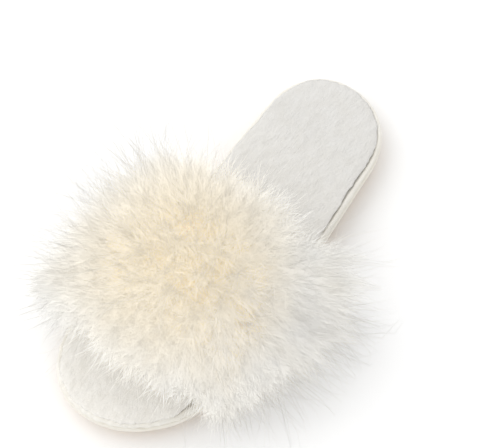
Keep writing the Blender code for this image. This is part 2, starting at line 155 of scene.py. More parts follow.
# How plumes lean to the toe, the heel and the sides, and how much of it is chance
TOE_LEAN = 1.9
HEEL_LEAN = 1.35
SIDE_LEAN = 0.5
SIDE_LEAN_KEPT = 0.5
LEAN_CHANCE = 0.28

# Corners of the fluff: how much a place counts as one, most on the outer side from a little behind
# the middle to the toe, and how much shorter plumes, barbs and wisps are there
CORNER_SHARE = 0.9
CORNER_OUTER_SHARE = 2.4
CORNER_OUTER_FROM = -0.35
CORNER_PLUME_CUT = 0.28
CORNER_BARB_CUT = 0.16
CORNER_WISP_CUT = 0.2

# A plume's quill: its lean at the root, then its way out, lean and sag at the tip
QUILL_ROOT_LEAN = 0.45
QUILL_TIP_OUT = 0.35
QUILL_TIP_LEAN = 1.1
QUILL_TIP_SAG = 0.15
QUILL_SIDE_SAG = 0.55

# Barbs on a quill; their angle from it is in degrees and closes towards the tip
BARBS_PER_PLUME = 85
BARB_SPOTS = (0.1, 0.9)
BARB_LENGTH = 21 * MM
BARB_LENGTHS = (0.55, 1.15)
BARB_RADIUS = 0.12 * MM
BARB_RADII = (0.7, 1.3)
BARB_TAPER = (1.0, 0.7, 0.0)
BARB_ANGLE = 68
BARB_ANGLE_CLOSING = 22
BARB_ANGLE_CHANCE = 20
BARB_CURL = 0.55
BARB_CURL_CHANCE = 0.38
BARB_SAG = 0.12

# How far out a point of a plume counts as, by its place on the quill and on the barb
QUILL_REACH = 0.75
BARB_REACH = 0.35

# Single long barbs that stand out past the plumes, fewer and shorter over the toe
WISP_COUNT = 2400
WISP_LENGTH = 62 * MM
WISP_LENGTHS = (0.6, 1.15)
WISP_RADIUS = 0.15 * MM
WISP_TAPER = (1.0, 0.9, 0.8, 0.6, 0.4, 0.0)
WISP_FEWER_AT_ENDS = 0.55
WISP_TOE_CUT = 0.3
WISP_LEAN = 0.8
WISP_WAY_CHANCE = 0.4
WISP_CURL_CHANCE = 0.6
WISP_SAG = 0.35
WISP_SIDE_SAG = 0.25

# Tufts of barbs that cling together to a point; places and spreads in mm, turns in degrees
TUFT_COUNT = 12
TUFT_LENGTH = 58 * MM
TUFT_LENGTHS = (0.8, 1.1)
BARBS_PER_TUFT = 30
TUFT_RADIUS = 0.13 * MM
TUFT_TAPER = (1.0, 1.0, 0.9, 0.7, 0.0)
TUFT_X = (-8, 34)
TUFT_TURN = (-10, 30)
TUFT_MIDDLE_X = 34 * MM
TUFT_FAN = 38 * MM
TUFT_WAY = (0.8, 0.55, 0.25)
TUFT_WAY_OUT = 0.5
TUFT_WAY_CHANCE = 0.15
TUFT_SAG = (4, 12)
TUFT_ROOT_SPREAD = 4.5
TUFT_TIP_SPREAD = 1.3
TUFT_BOW_SPREAD = 2.5

# Bounds that no barb passes, and how softly it is turned back from them
FLOOR_CLEARANCE = 0.8 * MM
FLOOR_GIVE = 0.05
REACH_TOE = 132 * MM
REACH_SIDE = 105 * MM
REACH_MIDDLE = 4.5 * MM
REACH_TOP = 123 * MM
REACH_EASE = 8 * MM

# Sides of every strand's tube, whose root closes with one triangle, and the least length of a step
STRAND_SIDES = 3
LEAST_LENGTH = 1e-12

# Down under the plumes: its grid, where it lies, its form and the lumps in it
DOWN_COLUMNS = 72
DOWN_ROWS = 36
DOWN_INSET = 2 * MM
DOWN_FIRST_TURN = math.radians(-10)
DOWN_TURN = math.radians(200)
DOWN_LIFT = 1.5 * MM
DOWN_THICKNESS = 12 * MM
DOWN_ROUND_EDGE = 0.16
DOWN_LUMPS = 0.45
DOWN_FINE_LUMPS = 0.25
DOWN_WALL = 1.2 * MM

FLOAT, COLOUR, VECTOR = "NodeSocketFloat", "NodeSocketColor", "NodeSocketVector"


# Shader helpers


def shader_node(tree, kind, inputs=None, **settings):
    """One shader node with its settings, its input values and its incoming links."""
    made = tree.nodes.new(kind)
    for name, value in settings.items():
        setattr(made, name, value)
    for name, value in (inputs or {}).items():
        if isinstance(value, bpy.types.NodeSocket):
            tree.links.new(value, made.inputs[name])
        else:
            made.inputs[name].default_value = value
    return made


def number_math(tree, operation, *values, **settings):
    """The result of one step of arithmetic on numbers."""
    inputs = dict(enumerate(values))
    return shader_node(tree, "ShaderNodeMath", inputs, operation=operation, **settings).outputs[0]


def vector_math(tree, operation, *values):
    """The result of one step of arithmetic on vectors."""
    inputs = dict(enumerate(values))
    made = shader_node(tree, "ShaderNodeVectorMath", inputs, operation=operation)
    return made.outputs["Value" if operation == "LENGTH" else "Vector"]


def blended(tree, share, first, second, **settings):
    """Two colours mixed by a share of the second."""
    inputs = {0: share, 6: first, 7: second}
    return shader_node(tree, "ShaderNodeMix", inputs, data_type="RGBA", **settings).outputs[2]


def ranged(tree, value, start, end, to=(0.0, 1.0), **settings):
    """A value that runs from start to end, mapped to run over another range."""
    inputs = {"Value": value, "From Min": start, "From Max": end, "To Min": to[0], "To Max": to[1]}
    return shader_node(tree, "ShaderNodeMapRange", inputs, **settings).outputs["Result"]


def effect_group(name, inputs, outputs):
    """An empty shader node group with named sockets: (name, kind, default)."""
    group = bpy.data.node_groups.new(name, "ShaderNodeTree")
    for label, kind, default in inputs:
        socket = group.interface.new_socket(name=label, in_out="INPUT", socket_type=kind)
        socket.default_value = default
    for label, kind in outputs:
        group.interface.new_socket(name=label, in_out="OUTPUT", socket_type=kind)
    given = group.nodes.new("NodeGroupInput").outputs
    return group, given, group.nodes.new("NodeGroupOutput").inputs


# Shared effects


def tone_group():
    """Two tones of one colour, mixed in soft patches."""
    group, given, out = effect_group(
        "soft_patches",
        [
            ("Place", VECTOR, (0, 0, 0)),
            ("Size", FLOAT, 60.0),
            ("Light", COLOUR, (1, 1, 1, 1)),
            ("Dark", COLOUR, (0.5, 0.5, 0.5, 1)),
        ],
        [("Colour", COLOUR)],
    )
    cloud = shader_node(
        group,
        "ShaderNodeTexNoise",
        {"Vector": given["Place"], "Scale": given["Size"], "Detail": 4.0, "Roughness": 0.6},
    )
    patches = ranged(group, cloud.outputs["Fac"], 0.32, 0.68)
    group.links.new(blended(group, patches, given["Light"], given["Dark"]), out["Colour"])
    return group


def knit_group():
    """Fine knitted stretch: small loops over broader ripples."""
    group, given, out = effect_group(
        "knit_loops",
        [
            ("Place", VECTOR, (0, 0, 0)),
            ("Loops", FLOAT, 900.0),
            ("Ripples", FLOAT, 120.0),
            ("Ripple Share", FLOAT, 0.5),
        ],
        [("Height", FLOAT)],
    )
    loops = shader_node(
        group,
        "ShaderNodeTexVoronoi",
        {"Vector": given["Place"], "Scale": given["Loops"], "Randomness": 0.7},
        feature="SMOOTH_F1",
    )
    ripples = shader_node(
        group,
        "ShaderNodeTexNoise",
        {"Vector": given["Place"], "Scale": given["Ripples"], "Detail": 3.0},
    )
    mixed = shader_node(
        group,
        "ShaderNodeMix",
        {0: given["Ripple Share"], 2: loops.outputs["Distance"], 3: ripples.outputs["Fac"]},
    )
    group.links.new(mixed.outputs[0], out["Height"])
    return group


def loft_group():
    """Turns the normal of fine strands towards the way out of the whole fluff.

    It also gives the distance from the fluff's heart, with less weight on height."""
    group, given, out = effect_group(
        "strand_loft",
        [
            ("Place", VECTOR, (0, 0, 0)),
            ("Heart", VECTOR, (0, 0, 0)),
            ("Spread", VECTOR, (1, 1, 1)),
            ("Rim Spread", VECTOR, (1, 1, 0.4)),
            ("Share", FLOAT, 0.7),
        ],
        [("Normal", VECTOR), ("Distance", FLOAT)],
    )
    away = vector_math(group, "SUBTRACT", given["Place"], given["Heart"])
    spread = vector_math(group, "MULTIPLY", away, given["Spread"])
    outwards = vector_math(group, "NORMALIZE", spread)
    own = shader_node(group, "ShaderNodeNewGeometry").outputs["Normal"]
    mixed = shader_node(
        group, "ShaderNodeMix", {0: given["Share"], 4: own, 5: outwards}, data_type="VECTOR"
    )
    even = vector_math(group, "NORMALIZE", mixed.outputs[1])
    flat = vector_math(group, "MULTIPLY", away, given["Rim Spread"])
    group.links.new(even, out["Normal"])
    group.links.new(vector_math(group, "LENGTH", flat), out["Distance"])
    return group


def joint_group():
    """An upright joint where the two ends of a wrap meet, on the inner side near the heel."""
    group, given, out = effect_group(
        "joint_line",
        [("Place", VECTOR, (0, 0, 0)), ("Depth", FLOAT, 1.0)],
        [("Depth", FLOAT)],
    )
    place = shader_node(group, "ShaderNodeSeparateXYZ", {"Vector": given["Place"]}).outputs
    off = number_math(group, "SUBTRACT", place["X"], WRAP_JOINT_X)
    apart = number_math(group, "ABSOLUTE", off)
    line = ranged(
        group,
        apart,
        0.0,
        WRAP_JOINT_WIDTH,
        to=(WRAP_JOINT_DEPTH, 0.0),
        interpolation_type="SMOOTHSTEP",
    )
    inner = number_math(group, "LESS_THAN", place["Y"], 0.0)
    kept = number_math(group, "MULTIPLY", line, inner)
    group.links.new(number_math(group, "MULTIPLY", kept, given["Depth"]), out["Depth"])
    return group


EFFECTS = {
    "soft_patches": tone_group(),
    "knit_loops": knit_group(),
    "strand_loft": loft_group(),
    "joint_line": joint_group(),
}


def effect(tree, name, **values):
    """The outputs of a shared effect, placed in a material with its own values."""
    made = tree.nodes.new("ShaderNodeGroup")
    made.node_tree = EFFECTS[name]
    for label, value in values.items():
        socket = made.inputs[label.replace("_", " ")]
        if isinstance(value, bpy.types.NodeSocket):
            tree.links.new(value, socket)
        else:
            socket.default_value = value
    return made.outputs


# Finishes


def new_finish(name, **shader_values):
    """A material with plain values on its shader, and its tree, shader and place socket."""
    made = bpy.data.materials.new(name)
    made.use_nodes = True
    tree = made.node_tree
    shader = tree.nodes["Principled BSDF"]
    for label, value in shader_values.items():
        shader.inputs[label.replace("_", " ")].default_value = value
    place = tree.nodes.new("ShaderNodeTexCoord").outputs["Object"]
    return made, tree, shader, place


def coloured(tree, shader, colour, with_painted_glow=False):
    """Gives the shader its colour, also as a painted glow that stands in for the light that comes
    through.
    """
    tree.links.new(colour, shader.inputs["Base Color"])
    if with_painted_glow:
        tree.links.new(colour, shader.inputs["Emission Color"])


def bump(tree, shader, height, strength, distance):
    """Fine relief from a height."""
    inputs = {"Height": height, "Strength": strength, "Distance": distance}
    made = shader_node(tree, "ShaderNodeBump", inputs)
    tree.links.new(made.outputs["Normal"], shader.inputs["Normal"])


def knit_finish(name, light, dark, loops, ripple_share, distance, joint=0.0):
    """Soft knit in two close tones, with the wrap's joint where it is asked for."""
    made, tree, shader, place = new_finish(
        name, Roughness=0.85, Sheen_Weight=0.25, Sheen_Roughness=0.5
    )
    tone = effect(tree, "soft_patches", Place=place, Size=90.0, Light=light, Dark=dark)
    coloured(tree, shader, tone["Colour"])
    knit = effect(tree, "knit_loops", Place=place, Loops=loops, Ripple_Share=ripple_share)
    closing = effect(tree, "joint_line", Place=place, Depth=joint)
    height = number_math(tree, "SUBTRACT", knit["Height"], closing["Depth"])
    bump(tree, shader, height, strength=0.6, distance=distance)
    return made


def plush_finish(name, heel, toe):
    """Brushed plush, painted lighter towards the toe to offset the fluff's shade, with a painted
    glow.
    """
    made, tree, shader, place = new_finish(
        name, Roughness=0.95, Sheen_Weight=0.3, Sheen_Roughness=0.6, Emission_Strength=PLUSH_PAINTED_GLOW
    )
    parts = shader_node(tree, "ShaderNodeSeparateXYZ", {"Vector": place})
    forward = ranged(tree, parts.outputs["X"], PLUSH_PAINTED_LIGHT_FROM_X, PLUSH_PAINTED_LIGHT_TO_X)
    along = blended(tree, forward, heel, toe)
    shade = blended(tree, 1.0, along, (0.96, 0.955, 0.94, 1), blend_type="MULTIPLY")
    tone = effect(tree, "soft_patches", Place=place, Size=110.0, Light=along, Dark=shade)
    coloured(tree, shader, tone["Colour"], with_painted_glow=True)
    brushed = shader_node(tree, "ShaderNodeMapping", {"Vector": place, "Scale": (0.4, 1.0, 1.0)})
    nap = shader_node(
        tree,
        "ShaderNodeTexNoise",
        {"Vector": brushed.outputs["Vector"], "Scale": 700.0, "Detail": 3.0, "Roughness": 0.65},
    )
    bump(tree, shader, nap.outputs["Fac"], strength=0.9, distance=1.1 * MM)
    return made


def rubber_finish(name, light, dark):
    """Matt moulded rubber with a fine grain."""
    made, tree, shader, place = new_finish(name, Roughness=0.5, Specular_IOR_Level=0.4)
    tone = effect(tree, "soft_patches", Place=place, Size=35.0, Light=light, Dark=dark)
    coloured(tree, shader, tone["Colour"])
    grain = shader_node(
        tree, "ShaderNodeTexNoise", {"Vector": place, "Scale": 1400.0, "Detail": 2.0}
    )
    bump(tree, shader, grain.outputs["Fac"], strength=0.35, distance=0.12 * MM)
    return made


def feather_finish(name, warm, pale, patch, loft_share, painted_glow_strength):
    """Feather: warm at the roots and in the thick middle, paler at the tips and the rim, with a
    painted glow for light through the barbs.
    """
    made, tree, shader, place = new_finish(
        name, Roughness=0.8, Sheen_Weight=0.3, Sheen_Roughness=0.4, Emission_Strength=painted_glow_strength
    )
    loft = effect(
        tree,
        "strand_loft",
        Place=place,
        Heart=FLUFF_HEART,
        Spread=(0.85, 1.0, 1.0),
        Share=loft_share,
    )
    tree.links.new(loft["Normal"], shader.inputs["Normal"])
    reach = shader_node(tree, "ShaderNodeAttribute", attribute_name="reach").outputs["Fac"]
    rim = ranged(
        tree, loft["Distance"], WARM_WITHIN, PALE_BEYOND, interpolation_type="SMOOTHSTEP"
    )
    outwards = number_math(tree, "MULTIPLY_ADD", reach, TIP_PALING, rim, use_clamp=True)
    along = blended(tree, outwards, warm, pale)
    tone = effect(tree, "soft_patches", Place=place, Size=45.0, Light=along, Dark=patch)
    coloured(tree, shader, blended(tree, PATCH_SHARE, along, tone["Colour"]), with_painted_glow=True)
    return made


WRAP_KNIT = knit_finish(
    "footbed_wrap_knit",
    light=(0.80, 0.77, 0.70, 1),
    dark=(0.75, 0.715, 0.63, 1),
    loops=1000.0,
    ripple_share=0.5,
    distance=0.35 * MM,
    joint=1.0,
)
ROLL_KNIT = knit_finish(
    "edge_roll_knit",
    light=(0.80, 0.78, 0.73, 1),
    dark=(0.75, 0.72, 0.65, 1),
    loops=800.0,
    ripple_share=0.35,
    distance=0.5 * MM,
)
LINING_KNIT = knit_finish(
    "band_lining_knit",
    light=(0.80, 0.77, 0.70, 1),
    dark=(0.76, 0.72, 0.64, 1),
    loops=900.0,
    ripple_share=0.3,
    distance=0.3 * MM,
)
# Toe tone painted lighter than the heel tone, against the shade the fluff casts on the plush
PLUSH = plush_finish("insole_plush_nap", heel=(0.60, 0.59, 0.57, 1), toe=(0.75, 0.73, 0.69, 1))
RUBBER = rubber_finish(
    "moulded_tan_rubber", light=(0.60, 0.41, 0.20, 1), dark=(0.53, 0.35, 0.165, 1)
)
# Each feather finish below carries a painted glow for light that comes through thin barbs
FEATHER = feather_finish(
    "marabou_barbs",
    warm=(0.885, 0.78, 0.59, 1),
    pale=(0.90, 0.89, 0.855, 1),
    patch=(0.87, 0.79, 0.635, 1),
    loft_share=0.97,
    painted_glow_strength=FEATHER_PAINTED_GLOW,
)
WISP = feather_finish(
    "loose_barbs",
    warm=(0.74, 0.68, 0.57, 1),
    pale=(0.72, 0.70, 0.66, 1),
    patch=(0.72, 0.68, 0.60, 1),
    loft_share=0.7,
    painted_glow_strength=0.27,
)
TUFT = feather_finish(
    "clinging_barbs",
    warm=(0.83, 0.76, 0.63, 1),
    pale=(0.83, 0.82, 0.79, 1),
    patch=(0.82, 0.77, 0.68, 1),
    loft_share=0.85,
    painted_glow_strength=0.45,
)
# The down's colours are painted darker than the barbs' as shade deep under the plumes
DOWN_PAINTED_SHADE = feather_finish(
    "down_under_plumes_painted_shade",
    warm=(0.74, 0.61, 0.41, 1),
    pale=(0.73, 0.70, 0.63, 1),
    patch=(0.73, 0.62, 0.44, 1),
    loft_share=0.9,
    painted_glow_strength=0.42,
)


# Mesh helpers


def placed(name, data):
    """A new object in the scene."""
    made = bpy.data.objects.new(name, data)
    bpy.context.scene.collection.objects.link(made)
    return made


def merged_solid(name):
    """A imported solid's mesh as a bmesh, with its loose triangles joined and paired into quads."""
    bm = bmesh.new()
    bm.from_mesh(SOLIDS[name].data)
    bmesh.ops.remove_doubles(bm, verts=bm.verts, dist=JOIN_POINTS)
    bmesh.ops.join_triangles(
        bm, faces=bm.faces, angle_face_threshold=QUAD_BEND, angle_shape_threshold=QUAD_SKEW
    )
    return bm


def piece_from(bm, name, finish):
    """A smooth-shaded object in one finish, from a bmesh that is then freed."""
    mesh = bpy.data.meshes.new(name)
    bm.to_mesh(mesh)
    bm.free()
    mesh.shade_smooth()
    mesh.materials.append(finish)
    return placed(name, mesh)


def settle(piece, solid):
    """The piece rides on the slipper and stands for its solid, which is hidden."""
    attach(piece, "root")
    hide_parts(solid)


def made_solid(piece):
    """Keeps what the piece's modifiers make as its own mesh."""
    view = bpy.context.evaluated_depsgraph_get()
    mesh = bpy.data.meshes.new_from_object(piece.evaluated_get(view))
    piece.modifiers.clear()
    piece.data = mesh
    mesh.shade_smooth()


def smoothed(piece, levels):
    """Rounds the piece off by subdivision."""
    soften = piece.modifiers.new("soften", "SUBSURF")
    soften.levels = soften.render_levels = levels
    made_solid(piece)


def relaxed(piece, rounds):
    """Evens out the piece's small unevenness."""
    relax = piece.modifiers.new("relax", "SMOOTH")
    relax.iterations = rounds
    made_solid(piece)


def evened(piece, voxel, rounds):
    """Gives the piece small even faces, for a form as fine as nap."""
    even = piece.modifiers.new("even_faces", "REMESH")
    even.mode = "VOXEL"
    even.voxel_size = voxel
    relaxed(piece, rounds)


def vectors(items, key):
    """One vector for each item of a mesh, as rows of an array."""
    flat = np.empty(len(items) * 3, np.float32)
    items.foreach_get(key, flat)
    return flat.reshape(-1, 3).astype(float)


def displace(piece, height):
    """Moves each vertex along its normal by height(point, normal)."""
    mesh = piece.data
    points, normals = vectors(mesh.vertices, "co"), vectors(mesh.vertex_normals, "vector")
    lift = np.array([height(Vector(p), Vector(n)) for p, n in zip(points, normals)])
    moved = points + normals * lift[:, None]
    mesh.vertices.foreach_set("co", moved.astype(np.float32).ravel())
    mesh.update()


def lumps(point, per_metre, height):
    """Soft chance height at a point, with so many lumps to a metre."""
    return noise.noise(point * per_metre) * height


def stretched(point, shares):
    """A point with its x, y and z each scaled by its own share."""
    return Vector([part * share for part, share in zip(point, shares)])


# Sole, footbed, roll, insole and band


def build_outsole():
    """Moulded sole with crisp tread grooves."""
    piece = piece_from(merged_solid("outsole"), "outsole_moulded", RUBBER)
    piece.data.set_sharp_from_angle(angle=SOLE_SHARP_EDGE)
    settle(piece, "outsole")


def build_footbed():
    """Foam board in a stretched fabric wrap, with soft ripples on its side."""
    piece = piece_from(merged_solid("footbed"), "footbed_wrapped", WRAP_KNIT)
    smoothed(piece, levels=2)

    def ripples(point, normal):
        """Height of the ripples, which fade towards level faces."""
        broad = lumps(point, BROAD_RIPPLES, BROAD_RIPPLE_HEIGHT)
        fine = noise.noise(stretched(point, FINE_RIPPLES)) * FINE_RIPPLE_HEIGHT
        return (broad + fine) * MM * (1 - abs(normal.z))

    displace(piece, ripples)
    settle(piece, "footbed")


def build_edge_roll():
    """Stuffed roll with gathers that are closest round the toe."""
    piece = piece_from(merged_solid("edge_roll"), "edge_roll_gathered", ROLL_KNIT)
    smoothed(piece, levels=3)

    def gathers(point, normal):
        """Height of the pleats and lumps, with a cushion at the toe and a groove elsewhere."""
        turn = math.atan2(point.y * SOLE_ASPECT, point.x)
        toe = max(0.0, (point.x - ROLL_TOE_FROM) / ROLL_TOE_RUN)
        wander = lumps(point, per_metre=60, height=PLEAT_WANDER)
        pleats = math.sin(turn * PLEATS_PER_RADIAN + wander)
        pleats *= PLEAT_HEIGHT + PLEAT_TOE_HEIGHT * toe
        broad = lumps(point, per_metre=90, height=ROLL_BROAD_LUMP_HEIGHT)
        fine = lumps(point, per_metre=260, height=ROLL_LUMP_HEIGHT + ROLL_LUMP_TOE_HEIGHT * toe)
        inwards = -Vector((point.x / INWARDS_STRETCH, point.y, 0)).normalized().dot(normal)
        groove = ROLL_GROOVE * max(0.0, inwards) * max(0.0, normal.z) * (1 - min(1.0, toe))
        cushion = ROLL_CUSHION * min(1.0, toe) * max(0.0, inwards + normal.z)
        return (pleats + (broad + fine) + cushion - groove) * MM

    displace(piece, gathers)
    settle(piece, "edge_roll")


def build_insole():
    """Plush pad with a soft, uneven, brushed face."""
    piece = piece_from(merged_solid("insole"), "insole_plush", PLUSH)
    smoothed(piece, levels=2)
    evened(piece, PLUSH_FACE, rounds=6)

    def swell(point, normal):
        """How far the pad's lip swells over the roll."""
        toe = min(1.0, max(0.0, (point.x - LIP_TOE_FROM) / LIP_TOE_RUN))
        inner_and_heel = max(0.0, -normal.y) + max(0.0, -normal.x)
        outer = max(0.0, normal.y)
        gathers = lumps(point, per_metre=190, height=0.5) * MM * toe
        free = LIP_SWELL * inner_and_heel - LIP_SHRINK * outer
        return (free + (LIP_SWELL - free) * toe + gathers) * (1 - abs(normal.z))

    def nap(point, normal):
        """Height of the brushed tufts."""
        brushed = stretched(point, NAP_TUFTS)
        tufts = noise.noise(brushed) * NAP_HEIGHT + lumps(brushed, NAP_FINER, NAP_FINE_HEIGHT)
        return (lumps(point, per_metre=50, height=0.5) + tufts) * MM

    displace(piece, swell)
    relaxed(piece, rounds=3)
    displace(piece, nap)
    settle(piece, "insole")


def build_band():
    """Lined band over the foot, soft at its edges."""
    piece = piece_from(merged_solid("upper"), "upper_band", LINING_KNIT)
    smoothed(piece, levels=1)
    settle(piece, "upper")


# Strands


def unit(rows, least=0.0):
    """Vectors of an array at length one; with a least length, vectors of no length stay so."""
    return rows / (np.linalg.norm(rows, axis=-1, keepdims=True) + least)


def strand_frames(spines, chance):
    """Two directions across each strand at each of its points."""
    tangents = unit(np.gradient(spines, axis=1), LEAST_LENGTH)
    up = chance.normal(size=(len(spines), 1, 3))
    across = unit(np.cross(tangents, np.broadcast_to(up, tangents.shape)), LEAST_LENGTH)
    return across, np.cross(tangents, across)


def strand_piece(name, spines, radii, reach, finish, chance):
    """Joins tapered tubes, one for each spine, into one piece of the feather trim.

    Each tube is closed at its root and at its tip."""
    count, steps = spines.shape[:2]
    across, over = strand_frames(spines, chance)
    sides, rings = STRAND_SIDES, steps - 1
    angles = np.arange(sides) * 2 * math.pi / sides
    wheel = (
        across[:, :rings, None] * np.cos(angles)[None, None, :, None]
        + over[:, :rings, None] * np.sin(angles)[None, None, :, None]
    )
    walls = spines[:, :rings, None] + wheel * radii[:, :rings, None, None]
    per_strand = rings * sides + 1
    points = np.concatenate([walls.reshape(count, rings * sides, 3), spines[:, -1:]], axis=1)
    corner = np.arange(sides)
    following = (corner + 1) % sides
    faces = []
    for ring in range(rings - 1):
        low, high = ring * sides, (ring + 1) * sides
        faces.append(np.stack([low + corner, low + following, high + following], axis=1))
        faces.append(np.stack([low + corner, high + following, high + corner], axis=1))
    top = (rings - 1) * sides
    tip = np.full(sides, rings * sides)
    faces.append(np.stack([top + corner, top + following, tip], axis=1))
    faces.append(np.array([[0, 2, 1]]))
    one = np.concatenate(faces)
    triangles = (one[None] + (np.arange(count) * per_strand)[:, None, None]).reshape(-1, 3)
    mesh = bpy.data.meshes.new(name)
    mesh.from_pydata(points.reshape(-1, 3).tolist(), [], triangles.tolist())
    mesh.shade_smooth()
    mesh.materials.append(finish)
    shares = np.concatenate([np.repeat(reach[:, :rings], sides, axis=1), reach[:, -1:]], axis=1)
    layer = mesh.attributes.new("reach", "FLOAT", "POINT")
    layer.data.foreach_set("value", shares.astype(np.float32).ravel())
    settle(placed(name, mesh), "feather_trim")


def kept_in_bounds(spines):
    """Turns strands that would pass the floor or stand out too far back inside, softly."""
    low = spines[..., 2] < FLOOR_CLEARANCE
    spines[..., 2][low] = FLOOR_CLEARANCE + (FLOOR_CLEARANCE - spines[..., 2][low]) * FLOOR_GIVE
    for axis, middle, limit in ((0, 0, REACH_TOE), (1, REACH_MIDDLE, REACH_SIDE), (2, 0, REACH_TOP)):
        ease_from = limit - REACH_EASE
        aside = spines[..., axis] - middle
        over = np.abs(aside) - ease_from
        soft = ease_from + REACH_EASE * np.tanh(over / REACH_EASE)
        past = over > 0
        spines[..., axis][past] = middle + np.sign(aside[past]) * soft[past]
    return spines


# Feathers on the band


def band_surface():
    """Gives a function that finds the outside of the band at x and a turn round the foot."""
    band = BVHTree.FromPolygons(
        [v.co for v in SOLIDS["upper"].data.vertices],
        [p.vertices[:] for p in SOLIDS["upper"].data.polygons],
    )
    low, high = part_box("upper")

    def surface(x, turn):
        """Place on the band's outside and its way out, carried on past the band's ends."""
        x_near = min(max(x, low.x + RAY_HEEL_MARGIN), high.x - RAY_TOE_MARGIN)
        heart = Vector((x_near, (low.y + high.y) / 2, RAY_AIM_Z))
        out = Vector((0, math.cos(turn), math.sin(turn)))
        place, normal, _, _ = band.ray_cast(heart + out * RAY_START, -out)
        if normal.dot(out) < 0:
            normal = -normal
        return place + Vector((x - x_near, 0, 0)), normal

    return surface


def chance_vector(chance, size):
    """A vector that points anywhere, with a typical size for each of its parts."""
    return Vector(chance.normal(size=3)) * size


def plume_roots(surface, chance):
    """Roots of the plumes: place, way out, lean, how far to the side, how far in a corner."""
    middle = (PLUME_FROM_X + PLUME_TO_X) / 2
    half = (PLUME_TO_X - PLUME_FROM_X) / 2
    roots = []
    for i in range(PLUME_ROWS):
        for j in range(PLUME_COLUMNS):
            u = (i + 0.5 + chance.uniform(-PLUME_JITTER, PLUME_JITTER)) / PLUME_ROWS
            v = (j + 0.5 + chance.uniform(-PLUME_JITTER, PLUME_JITTER)) / PLUME_COLUMNS
            x = PLUME_FROM_X + u * (PLUME_TO_X - PLUME_FROM_X)
            turn = PLUME_FIRST_TURN + v * (PLUME_LAST_TURN - PLUME_FIRST_TURN)
            place, out = surface(x, turn)
            forward = (x - middle) / half
            kept = 1 - (1 - SIDE_LEAN_KEPT) * abs(out.y)
            end_lean = TOE_LEAN if forward > 0 else HEEL_LEAN
            lean = Vector((forward * kept * end_lean, SIDE_LEAN * out.y, 0))
            lean += chance_vector(chance, LEAN_CHANCE)
            corner = abs(forward * out.y) * CORNER_SHARE
            if out.y > 0:
                from_middle = min(1.0, max(0.0, forward - CORNER_OUTER_FROM))
                corner = CORNER_OUTER_SHARE * out.y * from_middle
            roots.append((place + out * PLUME_ROOT_LIFT, out, lean, abs(out.y), corner))
    return roots


def plume_barbs(root, out, lean, side, corner, chance):
    """Spines of one plume's barbs, as barbs by points by xyz, and how far out each point is."""
    start = (out + lean * QUILL_ROOT_LEAN).normalized()
    sag = Vector((0, 0, QUILL_TIP_SAG + QUILL_SIDE_SAG * side))
    end = (out * QUILL_TIP_OUT + lean * QUILL_TIP_LEAN - sag).normalized()
    length = (PLUME_LENGTH + PLUME_SIDE_EXTRA * side) * chance.uniform(*PLUME_LENGTHS)
    length *= 1 - CORNER_PLUME_CUT * corner
    root, start, end = (np.array(v) for v in (root, start, end))
    s = np.sort(chance.uniform(*BARB_SPOTS, BARBS_PER_PLUME))
    quill = root + length * (start * s[:, None] + (end - start) * (s**2)[:, None] / 2)
    tangent = unit(start + (end - start) * s[:, None])
    flat = unit(np.cross(tangent, chance.normal(size=3)))
    turn_about = chance.uniform(0, math.pi, BARBS_PER_PLUME)[:, None]
    sides = flat * np.cos(turn_about) + np.cross(tangent, flat) * np.sin(turn_about)
    sides *= chance.choice([-1.0, 1.0], BARBS_PER_PLUME)[:, None]
    angle = BARB_ANGLE - BARB_ANGLE_CLOSING * s**1.5
    angle = np.radians(angle + chance.normal(0, BARB_ANGLE_CHANCE, BARBS_PER_PLUME))[:, None]
    way = tangent * np.cos(angle) + sides * np.sin(angle)
    reach = BARB_LENGTH * (1 - CORNER_BARB_CUT * corner)
    reach = (reach * chance.uniform(*BARB_LENGTHS, BARBS_PER_PLUME))[:, None, None]
    t = np.array([0.0, 0.5, 1.0])
    curl = (tangent - way) * BARB_CURL
    curl += chance.normal(0, BARB_CURL_CHANCE, (BARBS_PER_PLUME, 3))
    curl[:, 2] -= BARB_SAG
    bent = way[:, None] * t[None, :, None] + curl[:, None] * (t**2)[None, :, None] / 2
    along = s[:, None] * QUILL_REACH + t[None, :] * BARB_REACH
    return quill[:, None] + reach * bent, along


def build_plumes(surface):
    """Marabou plumes in several pieces, each of many curved barbs."""
    chance = np.random.default_rng(PLUME_SEED)
    roots = plume_roots(surface, chance)
    share = chance.permutation(len(roots)) % PLUME_PIECES
    batches = [[] for _ in range(PLUME_PIECES)]
    for k, root in enumerate(roots):
        batches[share[k]].append(plume_barbs(*root, chance))
    for k, batch in enumerate(batches):
        spines = kept_in_bounds(np.concatenate([spine for spine, _ in batch]))
        reach = np.concatenate([along for _, along in batch])
        taper = np.array(BARB_TAPER) * BARB_RADIUS
        radii = taper[None] * chance.uniform(*BARB_RADII, len(spines))[:, None]
        strand_piece(f"feather_plumes_{k + 1}", spines, radii, reach, FEATHER, chance)


